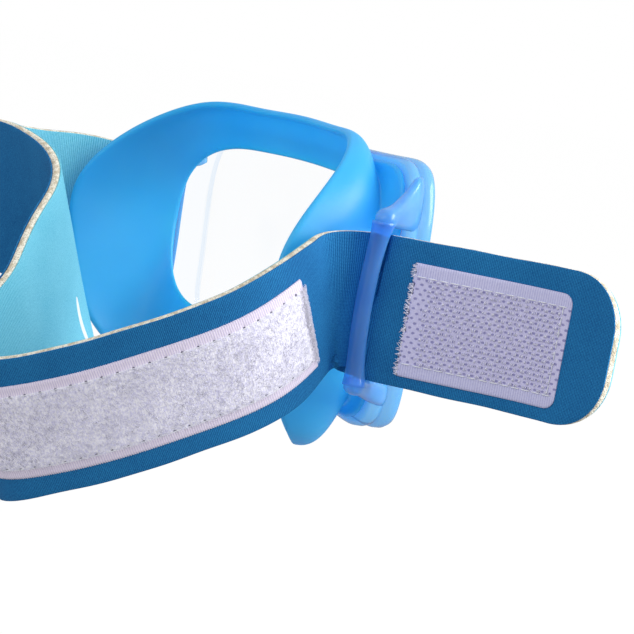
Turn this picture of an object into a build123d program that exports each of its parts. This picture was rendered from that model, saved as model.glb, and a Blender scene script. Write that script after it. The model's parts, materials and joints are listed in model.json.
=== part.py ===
"""Wide single-lens swim goggles with a threaded neoprene strap.

Millimetres.  The origin is at the middle of the mask, +X is the wearer's left, +Y runs back
towards the face and +Z is up.  The lens looks along -Y.
"""
from build123d import *
from math import cos, exp, radians, sin, tan
import os

os.makedirs("parts", exist_ok=True)

# ---------------------------------------------------------------- driving dimensions
MASK_HALF_WIDTH = 75.0          # middle to the side of the front frame
MASK_TOP = 40.0                 # top of the frame at the middle
MASK_BOTTOM = -36.0             # lower corners of the frame
NOSE_ARCH = -19.0               # top of the nose notch in the frame

BOW_RADIUS = 400.0              # plan curvature of the front of the mask
FRONT_Y = -11.0                 # foremost point of the frame
FRAME_DEPTH = 9.0               # frame, front to back
BOW_CENTRE_Y = FRONT_Y + BOW_RADIUS
FRAME_LIP = 9.0                 # frame outline to its opening
LENS_REBATE = 6.0               # frame outline to the rebate that holds the lens
LENS_THICKNESS = 2.0
SEAT_CLEARANCE = 0.05

SEAL_HALF_WIDTH = 74.0          # face seal at the temples
SEAL_TOP = 43.5
SEAL_BOTTOM = -44.0
SEAL_ARCH = -13.0
WINDOW_HALF_WIDTH = 66.0        # opening left by the silicone behind the lens
WINDOW_TOP = 30.5
WINDOW_BOTTOM = -22.0
WINDOW_ARCH = -11.0
SILICONE = 2.2                  # wall of the skirt
HEAD_RADIUS = 96.0              # plan radius of the face that the skirt is cut to
HEAD_FRONT_Y = 6.0
SKIRT_BACK_Y = 46.0
BOWL_DEPTH_Y = 8.0              # the skirt reaches its full width here

BAR_X = 84.0                    # strap bars, which are also the hinge lines of the strap
BAR_Y = 17.0
BAR_RADIUS = 2.35
BAR_HALF_LENGTH = 21.0
BAR_BOW = 1.6                   # the middle of a bar to the rear of its ends
ARM_THICKNESS = 3.6
ARM_RUN = (9.5, 15.0)           # from the side of the frame out and back to a bar

STRAP_WIDTH = 39.0
TAB_WIDTH = 39.0
BAND_WIDTH = 66.0               # widest part, at the back of the head
CLOTH = 0.5                     # knitted facing on either side of the foam
FOAM = 2.5
PLY_GAP = 0.05
BAR_CLEARANCE = 0.3             # bar to cloth
NECK_WRAP = {-1: 60.0, 1: 85.0}   # how far the strap is bent round each bar, degrees
NECK_REACH = 20.4               # the strap is held still this far from the bar
KNUCKLE_GAP = 1.6
REST_SLOPE = {-1: radians(20), 1: radians(-8)}   # how steeply the strap falls behind each bar
CREASE_START = 8.5              # straight run behind a bar, up to the crease
CREASE = {-1: 35.0, 1: 0.0}     # outward bend of the strap behind each bar, degrees
CREASE_RADIUS = 7.0
TAB_START = 3.0                 # along the tab, from the bar
TAB_LENGTH = 70.0
TAB_CORNER = 14.0
TAB_ROOT_CUT = 3.0
RIGHT_TAB_HEADING = 222.0       # plan direction of the open tab, degrees
LEFT_TAB_HEADING = 89.0         # plan direction of the fastened tab

TAPE_WIDTH = 27.0               # hook and loop tape
LOOP_TAPE_THICKNESS = 1.1
HOOK_TAPE_THICKNESS = 0.9
HOOK_TAPE_START = 9.0
HOOK_TAPE_LENGTH = 49.0
STITCH_LENGTH = 2.4
STITCH_PITCH = 4.2
STITCH_THICKNESS = 0.3
STITCH_INSET = 3.7              # row of stitches to the edge of the tape

STRAP_SECTIONS = 96             # sections that the curved strap is lofted through
RIGHT_TAPE = (1, 36)            # first and last section under the right loop tape
LEFT_TAPE = (83, 93)
STITCH_MARGIN = 0.01            # end of a tape to its stitches, as a share of the strap
BAND_MIDDLE = 0.53              # where the strap is widest, as a share of its length
BAND_SPREAD = 0.17
BACK_TIP = 0.58                 # lean of the loose strap, for each unit of rise
SIDE_TIP = -0.42
STRIPE = (0.575, 0.585)         # printed stripe, as shares of the strap's length
STRIPE_HEIGHT = 17.0
STRIPE_RISE = -11.5             # middle of the strap to the middle of the stripe
FLANGE_INSET = 2.0              # frame outline to the edge of the skirt's flange
PRINT_THICKNESS = 0.15

STRAP_THICKNESS = 2 * CLOTH + FOAM + 2 * PLY_GAP
STRAP_OFFSET = BAR_RADIUS + BAR_CLEARANCE + STRAP_THICKNESS / 2
UP = Vector(0, 0, 1)


# ---------------------------------------------------------------- shared shapes
def mask_outline(half_width, top, bottom, arch):
    """Front view of the mask: two rounded eye fields with a notch for the nose."""
    with BuildLine() as edge:
        crown = Spline(
            (0, top),
            (0.68 * half_width, top - 1.5),
            (0.93 * half_width, 0.82 * top),
            (half_width, 0.3 * top),
            tangents=((1, 0), (0, -1)),
        )
        side = Line(crown @ 1, (0.975 * half_width, 0.3 * bottom))
        cheek = Spline(
            side @ 1,
            (0.92 * half_width, 0.85 * bottom),
            (0.62 * half_width, bottom),
            (0.34 * half_width, bottom + 4.0),
            tangents=(side % 1, (-1, 0.45)),
        )
        Spline(cheek @ 1, (0, arch), tangents=((-1, 0.45), (-1, 0)))
        mirror(about=Plane.YZ)
    return edge.line


def frame_outline(inset=0.0):
    return mask_outline(
        MASK_HALF_WIDTH - inset, MASK_TOP - inset, MASK_BOTTOM + inset, NOSE_ARCH + inset
    )


def bowed_slab(front, back):
    """Sketch of the curved layer that lies between two depths behind the foremost point."""
    with BuildSketch(Plane.XY.offset(-60)) as slab:
        with Locations((0, BOW_CENTRE_Y)):
            Circle(BOW_RADIUS - front)
            Circle(BOW_RADIUS - back, mode=Mode.SUBTRACT)
    return slab.sketch


def save(part, name):
    part.label = name
    export_step(part, f"parts/{name}.step")


# ---------------------------------------------------------------- lens
with BuildPart() as lens:
    with BuildSketch(Plane.XZ) as lens_outline:
        add(frame_outline(LENS_REBATE + SEAT_CLEARANCE))
        make_face()
    extrude(amount=40, both=True)
    add(bowed_slab(SEAT_CLEARANCE, LENS_THICKNESS))
    extrude(amount=120, mode=Mode.INTERSECT)

save(lens.part, "lens")


# ---------------------------------------------------------------- front frame
def arm_plane(side):
    """Upright plane through one side of the frame and its strap bar."""
    out, rearward = ARM_RUN
    along = Vector(side * out, rearward, 0).normalized()
    origin = (side * (BAR_X - out), BAR_Y - rearward, 0)
    return Plane(origin=origin, x_dir=along, z_dir=along.cross(UP))


with BuildPart() as front_frame:
    with BuildSketch(Plane.XZ):
        add(frame_outline())
        make_face()
    extrude(amount=40, both=True)
    add(bowed_slab(0, FRAME_DEPTH))
    extrude(amount=120, mode=Mode.INTERSECT)
    with BuildSketch(Plane.XZ):
        add(frame_outline(FRAME_LIP))
        make_face()
    extrude(amount=40, both=True, mode=Mode.SUBTRACT)
    with BuildPart(mode=Mode.PRIVATE) as rebate:
        with BuildSketch(Plane.XZ):
            add(frame_outline(LENS_REBATE))
            make_face()
        extrude(amount=40, both=True)
        add(bowed_slab(-1, LENS_THICKNESS + SEAT_CLEARANCE))
        extrude(amount=120, mode=Mode.INTERSECT)
    add(rebate.part, mode=Mode.SUBTRACT)
    for side in (-1, 1):
        with BuildSketch(arm_plane(side)):
            with BuildLine():
                sweep_top = Spline((-6, 34), (4.5, 31), (10, 26.5), (18, 24.8))
                tip = Line(sweep_top @ 1, (18, 21.4))
                root = Line(tip @ 1, (-4, 21.4))
                Polyline(root @ 1, (-6, 24), sweep_top @ 0)
            make_face()
            with BuildLine():
                Polyline((-6, -27), (2, -25.2), (18, -25.2), (18, -21.4), (-4, -21.4), (-6, -27))
            make_face()
        extrude(amount=ARM_THICKNESS / 2, both=True)
        with BuildLine(Plane.YZ.offset(side * BAR_X)) as bar_line:
            ThreePointArc(
                (BAR_Y, -BAR_HALF_LENGTH - 2.5),
                (BAR_Y + BAR_BOW, 0),
                (BAR_Y, BAR_HALF_LENGTH + 2.5),
            )
        with BuildSketch(Plane(origin=bar_line.line @ 0, z_dir=bar_line.line % 0)):
            Circle(BAR_RADIUS)
        sweep(path=bar_line.line)

save(front_frame.part, "front_frame")


# ---------------------------------------------------------------- silicone skirt
def funnel(grow, front_y, back_y):
    """Solid bowl that opens from the window behind the lens, then runs straight to the face."""
    with BuildPart() as solid:
        with BuildSketch(Plane.XZ.offset(-front_y)):
            add(mask_outline(
                WINDOW_HALF_WIDTH + grow, WINDOW_TOP + grow, WINDOW_BOTTOM - grow, WINDOW_ARCH - grow,
            ))
            make_face()
        with BuildSketch(Plane.XZ.offset(-BOWL_DEPTH_Y)) as face:
            add(mask_outline(
                SEAL_HALF_WIDTH + grow, SEAL_TOP + grow, SEAL_BOTTOM - grow, SEAL_ARCH - grow,
            ))
            make_face()
        loft()
        extrude(face.sketch, amount=-(back_y - BOWL_DEPTH_Y))
    return solid.part


with BuildPart() as skirt:
    with BuildSketch(Plane.XZ):
        add(frame_outline(FLANGE_INSET))
        make_face()
    extrude(amount=40, both=True)
    add(bowed_slab(FRAME_DEPTH + SEAT_CLEARANCE, FRAME_DEPTH + SEAT_CLEARANCE + SILICONE))
    extrude(amount=120, mode=Mode.INTERSECT)
    add(funnel(0, -8, SKIRT_BACK_Y))
    with Locations((0, BOW_CENTRE_Y, 0)):
        Cylinder(BOW_RADIUS - FRAME_DEPTH - SEAT_CLEARANCE, 120, mode=Mode.INTERSECT)
    add(funnel(-SILICONE, -10, SKIRT_BACK_Y + 0.1), mode=Mode.SUBTRACT)
    with Locations((0, HEAD_FRONT_Y + HEAD_RADIUS, 0)):
        Cylinder(HEAD_RADIUS, 120, mode=Mode.SUBTRACT)

save(skirt.part, "skirt")


# ---------------------------------------------------------------- strap between the bars
# The ribbon leaves the right bar, droops, doubles back on itself behind the wearer's right ear,
# runs forward to its middle and returns to the left bar.
SIDE_X = BAR_X - STRAP_OFFSET
STRAP_REACH = NECK_REACH + KNUCKLE_GAP


def strap_end(side, x):
    """Where the strap meets its neck: straight out from the bar, at the slope of that side."""
    slope = REST_SLOPE[side]
    return (x, BAR_Y + STRAP_REACH * cos(slope), -STRAP_REACH * sin(slope))


with BuildLine() as strap_line:
    strap_path = Spline(
        strap_end(-1, -86.3),
        (-89.5, 49, -13),
        (-88, 62, -20),
        (-83, 75, -28),
        (-75.5, 87, -36),
        (-66, 98, -42),
        (-53, 103, -45),
        (-41, 97.5, -42.5),
        (-27, 84, -33.5),
        (-12.5, 72.5, -23),
        (3, 63.5, -12),
        (17, 61, -4),
        (32, 64, 1),
        (50, 71.5, 3.5),
        (64, 74.5, 4),
        (75, 69.5, 4.5),
        (80, 60, 4.5),
        (80.5, 49, 4),
        strap_end(1, SIDE_X),
    )


def strap_width(t):
    return STRAP_WIDTH + (BAND_WIDTH - STRAP_WIDTH) * exp(-(((t - BAND_MIDDLE) / BAND_SPREAD) ** 2))


def strap_lean(t):
    """Direction of the ribbon's upper edge: square to the ends, tipped back between them."""
    near_end = exp(-((t / 0.05) ** 2))
    far_end = 1 / (1 + exp((0.72 - t) / 0.06))
    tipped = BACK_TIP
    tipped += near_end * (tan(REST_SLOPE[-1]) - BACK_TIP)
    tipped += far_end * (tan(REST_SLOPE[1]) - BACK_TIP)
    sideways = SIDE_TIP * exp(-(((t - 0.59) / 0.14) ** 2))
    return Vector(sideways, tipped, 1)


def strap_plane(t, out, rise=0.0):
    """Plane across the ribbon: local x points out of the strap, local y along its width."""
    along = strap_path.tangent_at(t)
    outward = strap_lean(t).cross(along).normalized()
    across = along.cross(outward)
    return Plane(
        origin=strap_path.position_at(t) + outward * out + across * rise, x_dir=outward, z_dir=along
    )


def strap_ply(out, thickness, start=0.0, end=1.0, width=None, rise=0.0):
    """One layer that follows the strap, its inner face at the distance out from the middle."""
    steps = round(STRAP_SECTIONS * (end - start))
    with BuildPart() as ply:
        for step in range(steps + 1):
            t = start + (end - start) * step / steps
            with BuildSketch(strap_plane(t, out + thickness / 2, rise)):
                Rectangle(thickness, width or strap_width(t))
        loft(ruled=True)
    return ply.part


def strap_stitches(start, end, out, length):
    """Two rows of stitches along the edges of a tape that lies on the strap."""
    count = round(length / STITCH_PITCH)
    rows = TAPE_WIDTH / 2 - STITCH_INSET
    spots = [
        strap_plane(start + (end - start) * (step + 0.5) / count, out, rise)
        for rise in (-rows, rows)
        for step in range(count)
    ]
    with BuildPart() as thread:
        with Locations(*spots):
            Box(STITCH_THICKNESS, 2 * STITCH_THICKNESS, STITCH_LENGTH)
    return thread.part


save(strap_ply(-FOAM / 2, FOAM), "strap_core")
save(strap_ply(FOAM / 2 + PLY_GAP, CLOTH), "strap_outer_cloth")
save(strap_ply(-FOAM / 2 - PLY_GAP - CLOTH, CLOTH), "strap_inner_cloth")

TAPE_SEAT = STRAP_THICKNESS / 2 + PLY_GAP
for name, sections in (("right", RIGHT_TAPE), ("left", LEFT_TAPE)):
    start, end = (section / STRAP_SECTIONS for section in sections)
    save(strap_ply(TAPE_SEAT, LOOP_TAPE_THICKNESS, start, end, TAPE_WIDTH), f"{name}_loop_tape")
    save(
        strap_stitches(
            start + STITCH_MARGIN,
            end - STITCH_MARGIN,
            TAPE_SEAT + LOOP_TAPE_THICKNESS + STITCH_THICKNESS,
            strap_path.length * (end - start - 2 * STITCH_MARGIN),
        ),
        f"{name}_loop_stitching",
    )

PRINT_SEAT = -STRAP_THICKNESS / 2 - PLY_GAP - PRINT_THICKNESS
save(
    strap_ply(PRINT_SEAT, PRINT_THICKNESS, *STRIPE, STRIPE_HEIGHT, STRIPE_RISE),
    "printed_stripe",
)


# ---------------------------------------------------------------- strap round the bars
def strap_neck(side):
    """The stretch that is threaded through one slot and bent round its bar."""
    bar = Vector(side * BAR_X, BAR_Y)
    with BuildPart() as neck:
        with BuildLine() as path:
            wrap = CenterArc(bar, STRAP_OFFSET, 90 + side * 90, side * NECK_WRAP[side])
            run = Line(wrap @ 0, wrap @ 0 + Vector(0, CREASE_START))
            if CREASE[side]:
                run = JernArc(run @ 1, run % 1, CREASE_RADIUS, -side * CREASE[side])
            Line(run @ 1, run @ 1 + (run % 1) * NECK_REACH)
        with BuildSketch(Plane(origin=wrap @ 1, x_dir=wrap @ 1 - bar, z_dir=wrap % 1)):
            Rectangle(STRAP_THICKNESS, STRAP_WIDTH)
        sweep(path=path.line)
        with Locations((side * SIDE_X, BAR_Y, 0)):
            Cylinder(NECK_REACH, 40, rotation=(0, 90, 0), mode=Mode.INTERSECT)
    return neck.part


save(strap_neck(-1), "right_strap_neck")
save(strap_neck(1), "left_strap_neck")


# ---------------------------------------------------------------- tabs
def tab_plane(side, heading, out):
    """Plane of one tab: local x runs away from the bar, local z out of the face with the hooks."""
    along = Vector(cos(radians(heading)), sin(radians(heading)), 0)
    facing = along.cross(UP) * -side
    return Plane(origin=Vector(side * BAR_X, BAR_Y, 0) + facing * out, x_dir=along, z_dir=facing)


def tab_ply(plane, thickness):
    with BuildPart() as ply:
        with BuildSketch(plane):
            with Locations(((TAB_START + TAB_LENGTH) / 2, 0)):
                Rectangle(TAB_LENGTH - TAB_START, TAB_WIDTH)
            fillet(vertices().group_by(Axis.X)[-1], TAB_CORNER)
            chamfer(vertices().group_by(Axis.X)[0], TAB_ROOT_CUT)
        extrude(amount=-thickness)
    return ply.part


def hook_tape(plane):
    with BuildPart() as tape:
        with BuildSketch(plane):
            with Locations((HOOK_TAPE_START + HOOK_TAPE_LENGTH / 2, 0)):
                RectangleRounded(HOOK_TAPE_LENGTH, TAPE_WIDTH, 2.5)
        extrude(amount=HOOK_TAPE_THICKNESS)
    return tape.part


def hook_stitches(plane):
    count = int(HOOK_TAPE_LENGTH / STITCH_PITCH) - 1
    rows = TAPE_WIDTH - 2 * STITCH_INSET
    with BuildPart() as thread:
        with BuildSketch(plane):
            with Locations((HOOK_TAPE_START + HOOK_TAPE_LENGTH / 2, 0)):
                with GridLocations(STITCH_PITCH, rows, count, 2):
                    Rectangle(STITCH_LENGTH, 2 * STITCH_THICKNESS)
        extrude(amount=STITCH_THICKNESS)
    return thread.part


FACE_OUT = -BAR_RADIUS - BAR_CLEARANCE
for name, side, heading in (("right", -1, RIGHT_TAB_HEADING), ("left", 1, LEFT_TAB_HEADING)):
    plies = (("outer_cloth", CLOTH), ("core", FOAM), ("inner_cloth", CLOTH))
    depth = FACE_OUT
    for ply, thickness in plies:
        save(tab_ply(tab_plane(side, heading, depth), thickness), f"{name}_tab_{ply}")
        depth -= thickness + PLY_GAP
    tape_out = FACE_OUT + PLY_GAP
    save(hook_tape(tab_plane(side, heading, tape_out)), f"{name}_hook_tape")
    thread_out = tape_out + HOOK_TAPE_THICKNESS + PLY_GAP
    save(hook_stitches(tab_plane(side, heading, thread_out)), f"{name}_hook_stitching")
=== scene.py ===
"""Looks of the swim goggles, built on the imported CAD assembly.

Metres, in the part's own axes: +X is the wearer's left, +Y runs back, +Z is up.
"""
import json
from math import ceil, cos, pi, radians, sin

import bpy
import numpy as np
from mathutils import Matrix, Vector


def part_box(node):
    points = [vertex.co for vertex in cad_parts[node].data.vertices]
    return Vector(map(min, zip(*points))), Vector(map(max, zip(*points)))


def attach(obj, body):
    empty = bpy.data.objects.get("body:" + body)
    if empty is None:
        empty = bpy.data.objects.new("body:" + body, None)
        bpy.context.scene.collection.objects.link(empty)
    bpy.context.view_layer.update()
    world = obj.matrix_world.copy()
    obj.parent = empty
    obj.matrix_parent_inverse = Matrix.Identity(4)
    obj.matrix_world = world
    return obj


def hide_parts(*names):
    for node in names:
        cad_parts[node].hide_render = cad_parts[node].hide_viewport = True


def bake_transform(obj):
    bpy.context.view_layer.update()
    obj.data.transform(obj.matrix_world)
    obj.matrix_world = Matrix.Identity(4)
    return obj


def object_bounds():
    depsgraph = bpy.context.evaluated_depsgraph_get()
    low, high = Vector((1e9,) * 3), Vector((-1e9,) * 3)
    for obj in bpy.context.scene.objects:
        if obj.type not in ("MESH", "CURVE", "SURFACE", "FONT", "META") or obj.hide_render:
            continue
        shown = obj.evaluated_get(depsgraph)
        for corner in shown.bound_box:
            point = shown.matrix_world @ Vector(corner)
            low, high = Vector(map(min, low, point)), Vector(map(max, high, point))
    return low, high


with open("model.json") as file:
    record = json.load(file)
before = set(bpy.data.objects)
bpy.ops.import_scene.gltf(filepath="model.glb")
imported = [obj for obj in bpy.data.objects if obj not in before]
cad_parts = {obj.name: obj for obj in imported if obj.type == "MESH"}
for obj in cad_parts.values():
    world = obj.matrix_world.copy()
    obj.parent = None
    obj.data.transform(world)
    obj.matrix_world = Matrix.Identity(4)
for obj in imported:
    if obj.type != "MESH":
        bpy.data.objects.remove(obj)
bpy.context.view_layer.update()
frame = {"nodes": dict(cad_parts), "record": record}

MM = 0.001
UP = np.array([0.0, 0.0, 1.0])
random = np.random.default_rng(7)
MOUNTS = {m["name"]: np.array(m["pos_m"]) for m in frame["record"]["mounts"]}
BAR = {-1: MOUNTS["right_strap_slot"], 1: MOUNTS["left_strap_slot"]}
SIDE_NAME = {-1: "right", 1: "left"}

# ---------------- sizes
BAR_RADIUS = 2.35 * MM
WRAP_RADIUS = 4.45 * MM  # middle of the strap where it lies round a bar
CLOTH = 0.5 * MM  # thickness of either cloth
FOAM_HALF = 1.05 * MM  # half the thickness of the foam
FACE = FOAM_HALF + CLOTH  # middle of the strap to either face
TAB_HALF_WIDTH = 19.5 * MM
TAB_LENGTH = 67.5 * MM
TAB_CORNER = 15.0 * MM
TAB_HEADING = {-1: radians(228.7), 1: radians(89.0)}
TAB_CURL = {-1: radians(32.0), 1: radians(-4.0)}
CURL_START = 34.0 * MM  # along the tab, from the bar
TAB_FLARE = 0.05  # how much wider the tip of a tab is than its foot
LOOP_HALF_WIDTH = 13.0 * MM
LOOP_SELVEDGE = 2.6 * MM
LOOP_FIELD = LOOP_HALF_WIDTH - LOOP_SELVEDGE  # half the width of the pile
LOOP_TAPE_HEIGHT = 0.95 * MM
LOOP_RIB = 0.62 * MM  # pitch of the ribs in the selvedges
HOOK_HALF_WIDTH = 15.2 * MM
HOOK_CENTRE = -1.4 * MM  # below the middle of the tab
HOOK_SELVEDGE = 3.5 * MM
HOOK_FIELD = HOOK_HALF_WIDTH - HOOK_SELVEDGE  # half the width with hooks on it
HOOK_GROUND_HEIGHT = 0.55 * MM
HOOK_RIB = 0.66 * MM
HOOK_CORNER = 3.0 * MM
HOOK_TAPE_START = 13.5 * MM  # along the tab, from the bar
HOOK_TAPE_END = 57.0 * MM
HOOK_PITCH = 2.2 * MM  # between bunches of hooks, along the tape
HOOK_ROW = 1.3 * MM  # between rows of bunches, across the tape
HOOKS_IN_BUNCH = 5
FRAYED_ENDS = 150  # loose threads at the cut end of a hook tape
FAR_ROWS = 100  # keeps the count of hook rows above zero
STITCH_PITCH = 4.1 * MM
HOOK_STITCH_PITCH = 3.0 * MM
STITCH_SHARE = 0.82  # of the pitch that a stitch covers
STITCH_HEIGHT = 0.72 * MM  # over the cloth
STITCH_RISE = 0.20 * MM
NEEDLE_INSET = 0.3 * MM  # of the seams and hooks from the edge of their field
TUCK = 0.03 * MM  # how far a tape sinks into the cloth
MARK_WHITE = 0.088  # where the loop tape is rubbed palest, along the whole band

# The strap between the bars, from the right to the left: centre x, y, z and half the width in
# millimetres, then the lean of the upper edge in x and y for each unit of rise.
STRAP_ROWS = [
    (-79.55, 17.0, 1.2, 18.3, 0.0, 0.0),
    (-79.55, 22.0, 0.95, 18.2, 0.0, 0.08),
    (-79.75, 27.0, -0.1, 18.3, 0.0, 0.14),
    (-82.3, 31.6, -2.2, 18.6, 0.03, 0.13),
    (-87.0, 38.8, -6.7, 19.0, -0.08, 0.33),
    (-90.0, 48.0, -13.2, 19.5, -0.14, 0.55),
    (-86.0, 68.5, -25.6, 19.4, -0.10, 0.67),
    (-75.5, 87.5, -37.0, 19.5, -0.03, 0.66),
    (-66.5, 98.0, -43.0, 19.6, 0.0, 0.61),
    (-57.5, 104.0, -46.5, 20.4, 0.01, 0.56),
    (-47.5, 104.5, -47.0, 22.0, -0.02, 0.52),
    (-38.5, 99.0, -43.5, 24.2, -0.07, 0.50),
    (-26.5, 84.5, -33.5, 28.3, -0.20, 0.55),
    (-11.0, 73.4, -22.6, 31.8, -0.32, 0.60),
    (4.8, 64.8, -10.6, 31.0, -0.42, 0.58),
    (23.5, 63.2, -1.2, 27.2, -0.44, 0.48),
    (43.0, 68.4, 2.8, 25.2, -0.27, 0.32),
    (61.0, 74.5, 3.8, 22.6, -0.07, 0.18),
    (76.5, 67.0, 4.4, 19.8, 0.02, 0.08),
    (80.6, 58.0, 4.6, 19.5, 0.03, 0.04),
    (80.9, 48.0, 4.8, 19.4, 0.03, 0.02),
    (80.0, 36.0, 5.6, 19.2, 0.02, 0.0),
    (79.6, 26.0, 5.0, 18.8, 0.0, 0.0),
    (79.55, 17.0, 2.6, 18.4, 0.0, 0.0),
]


# ---------------- curves
def unit(vectors):
    return vectors / np.linalg.norm(vectors, axis=-1, keepdims=True)


def spline(knots, values, at):
    """Natural cubic spline through values at knots, read at the places at."""
    gap = np.diff(knots)
    size = len(knots)
    matrix = np.eye(size)
    right = np.zeros_like(values)
    for i in range(1, size - 1):
        matrix[i, i - 1:i + 2] = gap[i - 1], 2 * (gap[i - 1] + gap[i]), gap[i]
        right[i] = 6 * (
            (values[i + 1] - values[i]) / gap[i] - (values[i] - values[i - 1]) / gap[i - 1]
        )
    bend = np.linalg.solve(matrix, right)
    k = np.clip(np.searchsorted(knots, at, side="right") - 1, 0, size - 2)
    width = gap[k][:, None]
    after = (at - knots[k])[:, None]
    before = width - after
    return (
        (bend[k] * before**3 + bend[k + 1] * after**3) / (6 * width)
        + (values[k] / width - bend[k] * width / 6) * before
        + (values[k + 1] / width - bend[k + 1] * width / 6) * after
    )


def lengths(points):
    return np.concatenate([[0.0], np.cumsum(np.linalg.norm(np.diff(points, axis=0), axis=1))])


def even_curve(rows, spacing):
    """Rows whose first three values are a place, resampled evenly along a smooth curve."""
    rows = np.array(rows, float)
    knots = lengths(rows[:, :3])
    dense = np.linspace(0, knots[-1], 6000)
    arc = lengths(spline(knots, rows, dense)[:, :3])
    steps = np.linspace(0, arc[-1], ceil(arc[-1] / spacing) + 1)
    return spline(knots, rows, np.interp(steps, arc, dense))


# ---------------- meshes
def make_object(name, verts, faces, material, uvs=None):
    mesh = bpy.data.meshes.new(name)
    mesh.from_pydata([tuple(v) for v in verts], [], faces)
    mesh.polygons.foreach_set("use_smooth", [True] * len(mesh.polygons))
    if uvs is not None:
        layer = mesh.uv_layers.new(name="weave")
        corner = np.zeros(len(mesh.loops), int)
        mesh.loops.foreach_get("vertex_index", corner)
        layer.data.foreach_set("uv", np.asarray(uvs, float)[corner].astype(np.float32).ravel())
    mesh.materials.append(material)
    mesh.validate()
    mesh.update()
    piece = bpy.data.objects.new(name, mesh)
    bpy.context.scene.collection.objects.link(piece)
    return piece


def skin_faces(rows, columns, closed, start=0):
    """Quads over a grid of rows by columns whose columns close on themselves."""
    faces = []
    for i in range(rows if closed else rows - 1):
        a = start + i * columns
        b = start + ((i + 1) % rows) * columns
        for j in range(columns):
            k = (j + 1) % columns
            faces.append((a + j, a + k, b + k, b + j))
    return faces


def skin(name, rings, material, uvs=None, closed=False):
    """A solid skin over a row of closed rings, with both ends filled unless the row is closed."""
    rows, columns = rings.shape[:2]
    faces = skin_faces(rows, columns, closed)
    if not closed:
        faces.append(tuple(range(columns))[::-1])
        faces.append(tuple(range((rows - 1) * columns, rows * columns)))
    flat_uvs = None if uvs is None else uvs.reshape(-1, 2)
    piece = make_object(name, rings.reshape(-1, 3), faces, material, flat_uvs)
    outward(piece)
    return piece


def outward(piece):
    """Turns the faces so that they look out of the solid."""
    mesh = piece.data
    mesh.calc_loop_triangles()
    co = np.zeros(len(mesh.vertices) * 3)
    mesh.vertices.foreach_get("co", co)
    co = co.reshape(-1, 3)
    tri = np.zeros(len(mesh.loop_triangles) * 3, int)
    mesh.loop_triangles.foreach_get("vertices", tri)
    a, b, c = (co[tri.reshape(-1, 3)[:, k]] for k in range(3))
    if np.einsum("ij,ij->i", a, np.cross(b, c)).sum() < 0:
        mesh.flip_normals()


def threads(name, curves, radius, material, sides):
    """Many thin round strands, each a short row of points, as one mesh."""
    verts = []
    faces = []
    spin = np.linspace(0, 2 * pi, sides, endpoint=False)
    circle = np.stack([np.cos(spin), np.sin(spin)], axis=1)
    for points in curves:
        along = unit(np.gradient(points, axis=0))
        across = unit(np.cross(along, along[0] * 0.31 + [0.37, 0.61, 0.73]))
        other = np.cross(along, across)
        taper = np.ones(len(points))
        taper[[0, -1]] = 0.55
        start = len(verts)
        for p, u, w, size in zip(points, across, other, taper):
            verts.extend(p + radius * size * (c * u + s * w) for c, s in circle)
        faces += skin_faces(len(points), sides, False, start)
        faces.append(tuple(range(start, start + sides))[::-1])
        faces.append(tuple(range(len(verts) - sides, len(verts))))
    piece = make_object(name, verts, faces, material)
    outward(piece)
    return piece


def dress(piece, node):
    """Lets a piece stand for a CAD node by hiding the node."""
    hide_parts(node)
    return piece


# ---------------- material nodes
class Nodes:
    """Short names for building one material's node tree."""

    def __init__(self, name):
        self.material = bpy.data.materials.new(name)
        self.material.use_nodes = True
        self.tree = self.material.node_tree
        self.tree.nodes.clear()

    def add(self, kind, settings=None, **inputs):
        node = self.tree.nodes.new("ShaderNode" + kind)
        for key, value in (settings or {}).items():
            setattr(node, key, value)
        for key, value in inputs.items():
            self.put(node.inputs[key.replace("_", " ")], value)
        return node

    def put(self, socket, value):
        if isinstance(value, bpy.types.NodeSocket):
            self.tree.links.new(value, socket)
        else:
            socket.default_value = (*value, 1) if socket.type == "RGBA" else value

    def math(self, operation, *values):
        node = self.tree.nodes.new("ShaderNodeMath")
        node.operation = operation
        for socket, value in zip(node.inputs, values):
            self.put(socket, value)
        return node.outputs[0]

    def times(self, a, b):
        return self.math("MULTIPLY", a, b)

    def scaled(self, value, factor, offset):
        return self.math("MULTIPLY_ADD", value, factor, offset)

    def less(self, a, b):
        return self.math("SUBTRACT", a, b)

    def mix(self, factor, a, b):
        node = self.add("Mix", {"data_type": "RGBA"})
        self.put(node.inputs[0], factor)
        self.put(node.inputs[6], a)
        self.put(node.inputs[7], b)
        return node.outputs[2]

    def noise(self, scale, detail=3.0):
        return self.add("TexNoise", Scale=scale, Detail=detail, Vector=self.place()).outputs["Fac"]

    def place(self):
        return self.add("TexCoord").outputs["Object"]

    def weave(self):
        """Distance along and across the band, in metres."""
        parts = self.add("SeparateXYZ", Vector=self.add("UVMap", {"uv_map": "weave"}).outputs[0])
        return parts.outputs[0], parts.outputs[1]

    def squares(self, a, b):
        return self.math("ADD", self.times(a, a), self.times(b, b))

    def wave(self, value, pitch):
        """0 to 1 and back once in each pitch."""
        return self.scaled(self.math("SINE", self.times(value, 2 * pi / pitch)), 0.5, 0.5)

    def steps(self, value, low, high):
        node = self.add("MapRange", {"interpolation_type": "SMOOTHSTEP"})
        for key, entry in (("Value", value), ("From Min", low), ("From Max", high)):
            self.put(node.inputs[key], entry)
        return node.outputs[0]

    def bump(self, height, distance, strength):
        return self.add("Bump", Height=height, Distance=distance, Strength=strength).outputs[0]

    def mix_shaders(self, factor, first, second):
        both = self.add("MixShader", Fac=factor)
        self.tree.links.new(first.outputs[0], both.inputs[1])
        self.tree.links.new(second.outputs[0], both.inputs[2])
        return both

    def surface(self, **inputs):
        return self.finish(self.add("BsdfPrincipled", **inputs))

    def finish(self, shader):
        output = self.add("OutputMaterial")
        self.tree.links.new(shader.outputs[0], output.inputs["Surface"])
        return self.material


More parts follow.
